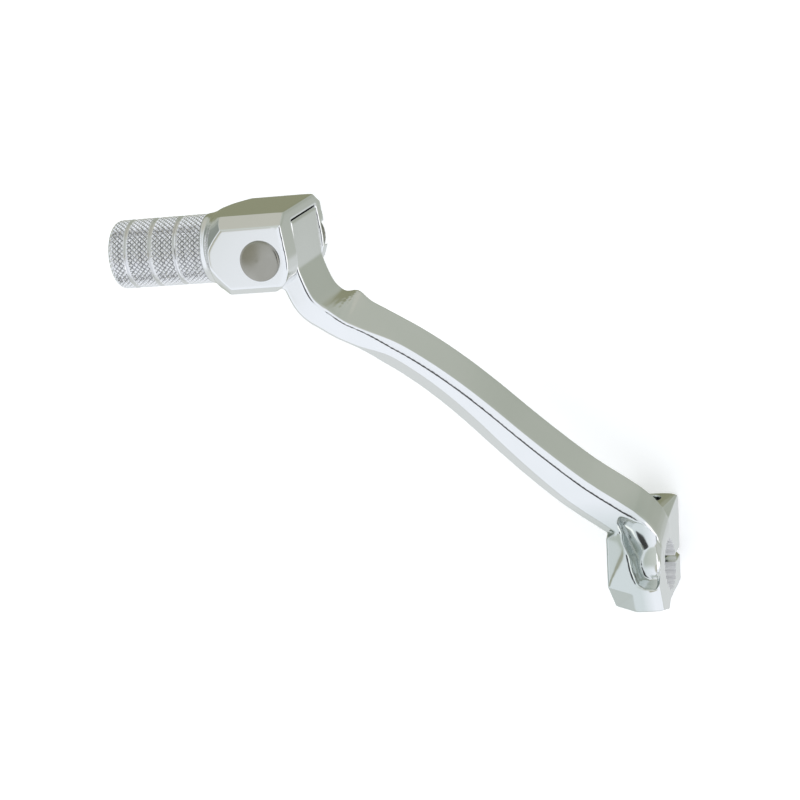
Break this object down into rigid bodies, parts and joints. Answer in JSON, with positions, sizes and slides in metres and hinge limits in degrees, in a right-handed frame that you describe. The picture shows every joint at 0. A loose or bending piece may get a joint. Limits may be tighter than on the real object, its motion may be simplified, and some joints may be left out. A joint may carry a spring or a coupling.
{
  "type": "gear shift lever",
  "caption": "Swept gear shift lever with a splined clamp hub and a knurled, sprung toe piece that folds back on a pivot pin.",
  "frame": {"origin": "centre of the splined shaft bore, at the middle of the hub's width", "axes": "+Y along the bore axis, outboard towards the toe piece's free end; +Z along the pivot pin towards its head; +X forward, from the shaft to the toe piece"},
  "size_m": [0.106, 0.1176, 0.0528],
  "materials": {
    "polished_aluminium": "polished forging",
    "knurled_aluminium": "polished, with a diamond-knurled barrel",
    "pin_steel": "satin steel",
    "spring_steel": "dark oiled spring steel"
  },
  "bodies": {
    "lever_arm": {"lever_arm": "polished_aluminium"},
    "toe": {"toe_piece": "knurled_aluminium", "pivot_pin": "pin_steel", "pin_washer": "pin_steel", "pin_circlip": "spring_steel", "spring_plug": "spring_steel", "detent_spring": "spring_steel"},
    "plunger": {"detent_plunger": "pin_steel"}
  },
  "joints": [
    {"name": "toe_fold", "type": "hinge", "parent": "lever_arm", "child": "toe", "pos_m": [0.0867, 0.0713, 0.0216], "axis": [0, 0, 1], "range_deg": [0, 70], "stiffness_Nm_per_rad": 0.25, "springref_deg": -45.84, "deforming": ["detent_spring"]},
    {"name": "plunger_slide", "type": "slide", "parent": "toe", "child": "plunger", "axis": [0, 1, 0], "range_m": [0, 0.0016]}
  ],
  "couplings": [
    {"joint": "plunger_slide", "follows": "toe_fold", "m_per_rad": 0.0012}
  ]
}
